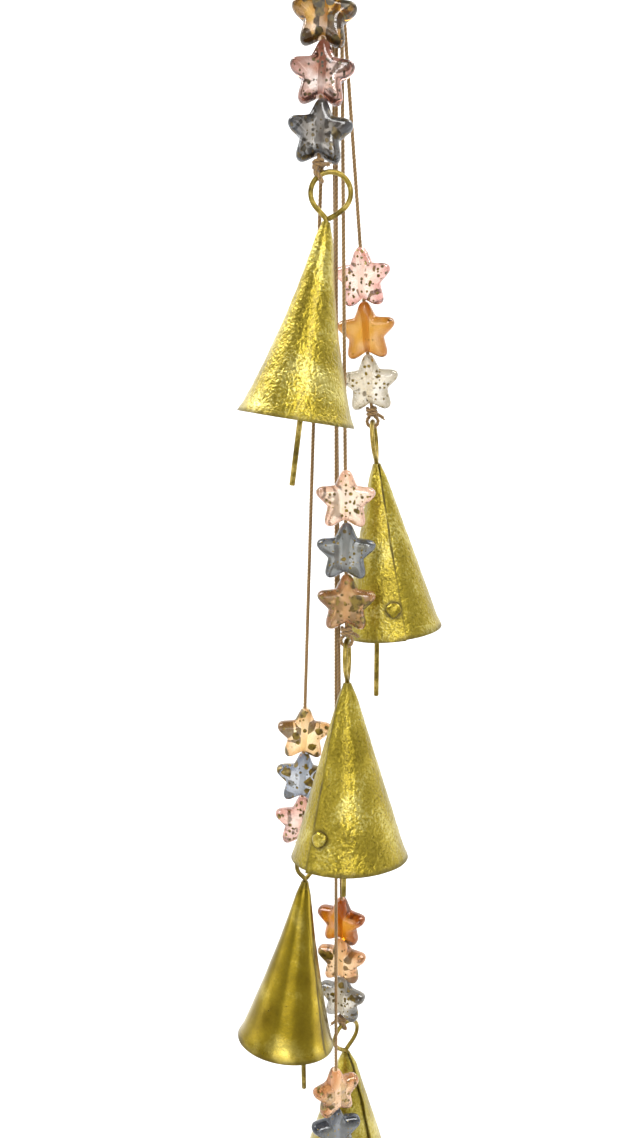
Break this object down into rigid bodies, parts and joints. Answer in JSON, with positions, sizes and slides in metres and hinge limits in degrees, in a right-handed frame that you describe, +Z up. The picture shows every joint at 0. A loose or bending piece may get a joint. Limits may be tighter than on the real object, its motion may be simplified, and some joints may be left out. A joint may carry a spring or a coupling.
{
  "type": "bell wind chime",
  "caption": "Hanging wind chime: cords gathered on a wire ring carry translucent star beads above rolled brass cone bells with rod clappers.",
  "frame": {"origin": "the point inside the top of the hanging ring where a hook or pin carries the chime", "axes": "+Z up, +X to the viewer's right, the viewer stands on the -Y side"},
  "size_m": [0.0745, 0.084, 0.5728],
  "materials": {
    "bell_sheet": "rolled sheet with a grainy olive-gold brassed skin, worn darker in its pits",
    "rivet": "hammered rivet, same skin as the sheet",
    "wire": "bent wire with a dull worn brassed skin",
    "cord": "tan twisted and waxed cord",
    "star_1_top": "glossy translucent clear gold acrylic with gold flecks inside",
    "star_1_middle": "glossy translucent rose acrylic with gold flecks inside",
    "star_1_bottom": "glossy translucent smoky grey acrylic with gold flecks inside",
    "star_2_top": "glossy translucent light pink acrylic with gold flecks inside",
    "star_2_middle": "glossy translucent amber acrylic with gold flecks inside",
    "star_2_bottom": "glossy translucent clear white acrylic with gold flecks inside",
    "star_3_top": "glossy translucent pale peach acrylic with gold flecks inside",
    "star_3_middle": "glossy translucent slate blue acrylic with gold flecks inside",
    "star_3_bottom": "glossy translucent peach pink acrylic with gold flecks inside",
    "star_4_top": "glossy translucent apricot acrylic with gold flecks inside",
    "star_4_middle": "glossy translucent pale blue acrylic with gold flecks inside",
    "star_4_bottom": "glossy translucent pink acrylic with gold flecks inside",
    "star_5_top": "glossy translucent deep orange acrylic with gold flecks inside",
    "star_5_middle": "glossy translucent peach acrylic with gold flecks inside",
    "star_5_bottom": "glossy translucent clear grey acrylic with gold flecks inside",
    "star_6_top": "glossy translucent salmon acrylic with gold flecks inside",
    "star_6_middle": "glossy translucent slate grey acrylic with gold flecks inside",
    "star_6_bottom": "glossy translucent pink acrylic with gold flecks inside"
  },
  "bodies": {
    "hanger": {"hanging_ring": "wire"},
    "bundle": {"gathering_knot": "cord", "cord_6_held": "cord"},
    "strand_1": {"cord_1": "cord", "knot_1": "cord"},
    "bell_1": {"bell_cone_1": "bell_sheet", "seam_rivet_1": "rivet", "bell_eye_1": "wire"},
    "clapper_1": {"clapper_1": "wire"},
    "strand_2": {"cord_2": "cord", "knot_2": "cord"},
    "bell_2": {"bell_cone_2": "bell_sheet", "seam_rivet_2": "rivet", "bell_eye_2": "wire"},
    "clapper_2": {"clapper_2": "wire"},
    "strand_3": {"cord_3": "cord", "knot_3": "cord"},
    "bell_3": {"bell_cone_3": "bell_sheet", "seam_rivet_3": "rivet", "bell_eye_3": "wire"},
    "clapper_3": {"clapper_3": "wire"},
    "strand_4": {"cord_4": "cord", "knot_4": "cord"},
    "bell_4": {"bell_cone_4": "bell_sheet", "seam_rivet_4": "rivet", "bell_eye_4": "wire"},
    "clapper_4": {"clapper_4": "wire"},
    "strand_5": {"cord_5": "cord", "knot_5": "cord"},
    "bell_5": {"bell_cone_5": "bell_sheet", "seam_rivet_5": "rivet", "bell_eye_5": "wire"},
    "clapper_5": {"clapper_5": "wire"},
    "strand_6": {"cord_6": "cord", "knot_6": "cord"},
    "bell_6": {"bell_cone_6": "bell_sheet", "seam_rivet_6": "rivet", "bell_eye_6": "wire"},
    "clapper_6": {"clapper_6": "wire"},
    "star_1_top": {"star_1_top": "star_1_top"},
    "star_1_middle": {"star_1_middle": "star_1_middle"},
    "star_1_bottom": {"star_1_bottom": "star_1_bottom"},
    "star_2_top": {"star_2_top": "star_2_top"},
    "star_2_middle": {"star_2_middle": "star_2_middle"},
    "star_2_bottom": {"star_2_bottom": "star_2_bottom"},
    "star_3_top": {"star_3_top": "star_3_top"},
    "star_3_middle": {"star_3_middle": "star_3_middle"},
    "star_3_bottom": {"star_3_bottom": "star_3_bottom"},
    "star_4_top": {"star_4_top": "star_4_top"},
    "star_4_middle": {"star_4_middle": "star_4_middle"},
    "star_4_bottom": {"star_4_bottom": "star_4_bottom"},
    "star_5_top": {"star_5_top": "star_5_top"},
    "star_5_middle": {"star_5_middle": "star_5_middle"},
    "star_5_bottom": {"star_5_bottom": "star_5_bottom"},
    "star_6_top": {"star_6_top": "star_6_top"},
    "star_6_middle": {"star_6_middle": "star_6_middle"},
    "star_6_bottom": {"star_6_bottom": "star_6_bottom"}
  },
  "joints": [
    {"name": "chime_swing", "type": "hinge", "parent": "hanger", "child": "bundle", "pos_m": [0, 0, -0.0141], "axis": [1, 0, 0], "range_deg": [-15, 15]},
    {"name": "strand_1_swing", "type": "hinge", "parent": "bundle", "child": "strand_1", "pos_m": [-0.0026, -0.0022, -0.0251], "axis": [-0.9798, 0.2, 0], "range_deg": [0, 15]},
    {"name": "strand_2_swing", "type": "hinge", "parent": "bundle", "child": "strand_2", "pos_m": [0.0007, 0.002, -0.0251], "axis": [0.5219, -0.853, 0], "range_deg": [0, 14]},
    {"name": "strand_3_swing", "type": "hinge", "parent": "bundle", "child": "strand_3", "pos_m": [0.0016, -0.0009, -0.0251], "axis": [-0.2496, -0.9684, 0], "range_deg": [0, 9]},
    {"name": "strand_4_swing", "type": "hinge", "parent": "bundle", "child": "strand_4", "pos_m": [-0.0022, 0.0004, -0.0251], "axis": [0.2, 0.9798, 0], "range_deg": [0, 12]},
    {"name": "strand_5_swing", "type": "hinge", "parent": "bundle", "child": "strand_5", "pos_m": [-0.001, 0.0022, -0.0251], "axis": [0.9536, 0.3011, 0], "range_deg": [0, 12]},
    {"name": "strand_6_swing", "type": "hinge", "parent": "bundle", "child": "strand_6", "pos_m": [0.00141, 0.00223, -0.41539], "axis": [-0.8, -0.6, 0], "range_deg": [0, 14]},
    {"name": "bell_1_swing", "type": "hinge", "parent": "strand_1", "child": "bell_1", "pos_m": [-0.00151, -0.0171, -0.10272], "axis": [0, 0.9979, -0.0645], "range_deg": [0, 25]},
    {"name": "bell_2_swing", "type": "hinge", "parent": "strand_2", "child": "bell_2", "pos_m": [0.01394, 0.01291, -0.17857], "axis": [-0.9846, 0.1384, -0.1071], "range_deg": [-16, 3]},
    {"name": "bell_3_swing", "type": "hinge", "parent": "strand_3", "child": "bell_3", "pos_m": [0.0044, -0.01083, -0.2497], "axis": [-0.9897, 0.1391, -0.0334], "range_deg": [0, 18]},
    {"name": "bell_4_swing", "type": "hinge", "parent": "strand_4", "child": "bell_4", "pos_m": [-0.00929, 0.01084, -0.3355], "axis": [-0.7431, 0.6691, -0.0088], "range_deg": [0, 18]},
    {"name": "bell_5_swing", "type": "hinge", "parent": "strand_5", "child": "bell_5", "pos_m": [0.00568, 0.01923, -0.41675], "axis": [0.6413, -0.7643, -0.0669], "range_deg": [0, 18]},
    {"name": "bell_6_swing", "type": "hinge", "parent": "strand_6", "child": "bell_6", "pos_m": [0.00161, 0.00254, -0.4823], "axis": [0.2588, 0.9659, 0.0068], "range_deg": [-20, 20]},
    {"name": "clapper_1_swing", "type": "hinge", "parent": "bell_1", "child": "clapper_1", "pos_m": [-0.00487, -0.01846, -0.12373], "axis": [0.9875, -0.0102, -0.1575], "range_deg": [-17, 9]},
    {"name": "clapper_2_swing", "type": "hinge", "parent": "bell_2", "child": "clapper_2", "pos_m": [0.01577, 0.01245, -0.19602], "axis": [0.1404, 0.99, -0.0112], "range_deg": [-19, 7]},
    {"name": "clapper_3_swing", "type": "hinge", "parent": "bell_3", "child": "clapper_3", "pos_m": [0.00463, -0.01314, -0.26611], "axis": [0.1424, 0.9805, -0.1358], "range_deg": [-14, 12]},
    {"name": "clapper_4_swing", "type": "hinge", "parent": "bell_4", "child": "clapper_4", "pos_m": [-0.01167, 0.00795, -0.35486], "axis": [0.6582, 0.7285, -0.1897], "range_deg": [-3, 9]},
    {"name": "clapper_5_swing", "type": "hinge", "parent": "bell_5", "child": "clapper_5", "pos_m": [0.00568, 0.02073, -0.43387], "axis": [-0.7672, -0.6389, -0.0559], "range_deg": [-17, 9]},
    {"name": "clapper_6_swing", "type": "hinge", "parent": "bell_6", "child": "clapper_6", "pos_m": [0.00206, 0.00254, -0.49959], "axis": [0.9656, -0.2589, 0.0253], "range_deg": [-13, 13]},
    {"name": "star_1_top_turn", "type": "hinge", "parent": "strand_1", "child": "star_1_top", "pos_m": [-0.00356, -0.00756, -0.05187], "axis": [0.0349, 0.1963, 0.9799], "range_deg": [-10, 10]},
    {"name": "star_1_middle_turn", "type": "hinge", "parent": "strand_1", "child": "star_1_middle", "pos_m": [-0.00416, -0.01094, -0.06872], "axis": [0.0349, 0.1963, 0.9799], "range_deg": [-10, 10]},
    {"name": "star_1_bottom_turn", "type": "hinge", "parent": "strand_1", "child": "star_1_bottom", "pos_m": [-0.00476, -0.01431, -0.08557], "axis": [0.0349, 0.1963, 0.9799], "range_deg": [-10, 10]},
    {"name": "star_2_top_turn", "type": "hinge", "parent": "strand_2", "child": "star_2_top", "pos_m": [0.0093, 0.00951, -0.12582], "axis": [-0.0849, -0.0741, 0.9936], "range_deg": [-20, 12]},
    {"name": "star_2_middle_turn", "type": "hinge", "parent": "strand_2", "child": "star_2_middle", "pos_m": [0.01076, 0.01079, -0.14291], "axis": [-0.0849, -0.0741, 0.9936], "range_deg": [-20, 12]},
    {"name": "star_2_bottom_turn", "type": "hinge", "parent": "strand_2", "child": "star_2_bottom", "pos_m": [0.01222, 0.01206, -0.16], "axis": [-0.0849, -0.0741, 0.9936], "range_deg": [-20, 12]},
    {"name": "star_3_top_turn", "type": "hinge", "parent": "strand_3", "child": "star_3_top", "pos_m": [0.00364, -0.00867, -0.19667], "axis": [-0.0119, 0.0452, 0.9989], "range_deg": [-20, 20]},
    {"name": "star_3_middle_turn", "type": "hinge", "parent": "strand_3", "child": "star_3_middle", "pos_m": [0.00384, -0.00945, -0.21385], "axis": [-0.0119, 0.0452, 0.9989], "range_deg": [-20, 20]},
    {"name": "star_3_bottom_turn", "type": "hinge", "parent": "strand_3", "child": "star_3_bottom", "pos_m": [0.00405, -0.01023, -0.23103], "axis": [-0.0119, 0.0452, 0.9989], "range_deg": [-20, 20]},
    {"name": "star_4_top_turn", "type": "hinge", "parent": "strand_4", "child": "star_4_top", "pos_m": [-0.01041, 0.00683, -0.28386], "axis": [0.0317, -0.0248, 0.9992], "range_deg": [-20, 20]},
    {"name": "star_4_middle_turn", "type": "hinge", "parent": "strand_4", "child": "star_4_middle", "pos_m": [-0.01095, 0.00726, -0.30104], "axis": [0.0317, -0.0248, 0.9992], "range_deg": [-20, 20]},
    {"name": "star_4_bottom_turn", "type": "hinge", "parent": "strand_4", "child": "star_4_bottom", "pos_m": [-0.0115, 0.00768, -0.31823], "axis": [0.0317, -0.0248, 0.9992], "range_deg": [-20, 20]},
    {"name": "star_5_top_turn", "type": "hinge", "parent": "strand_5", "child": "star_5_top", "pos_m": [0.00357, 0.01564, -0.36416], "axis": [-0.0135, -0.0396, 0.9991], "range_deg": [-20, 20]},
    {"name": "star_5_middle_turn", "type": "hinge", "parent": "strand_5", "child": "star_5_middle", "pos_m": [0.0038, 0.01632, -0.38135], "axis": [-0.0135, -0.0396, 0.9991], "range_deg": [-20, 20]},
    {"name": "star_5_bottom_turn", "type": "hinge", "parent": "strand_5", "child": "star_5_bottom", "pos_m": [0.00403, 0.017, -0.39853], "axis": [-0.0135, -0.0396, 0.9991], "range_deg": [-20, 20]},
    {"name": "star_6_top_turn", "type": "hinge", "parent": "strand_6", "child": "star_6_top", "pos_m": [0.00145, 0.00229, -0.42922], "axis": [-0.0031, -0.0044, 1], "range_deg": [-20, 20]},
    {"name": "star_6_middle_turn", "type": "hinge", "parent": "strand_6", "child": "star_6_middle", "pos_m": [0.00151, 0.00237, -0.44642], "axis": [-0.0031, -0.0044, 1], "range_deg": [-20, 20]},
    {"name": "star_6_bottom_turn", "type": "hinge", "parent": "strand_6", "child": "star_6_bottom", "pos_m": [0.00156, 0.00244, -0.46362], "axis": [-0.0031, -0.0044, 1], "range_deg": [-20, 20]}
  ]
}
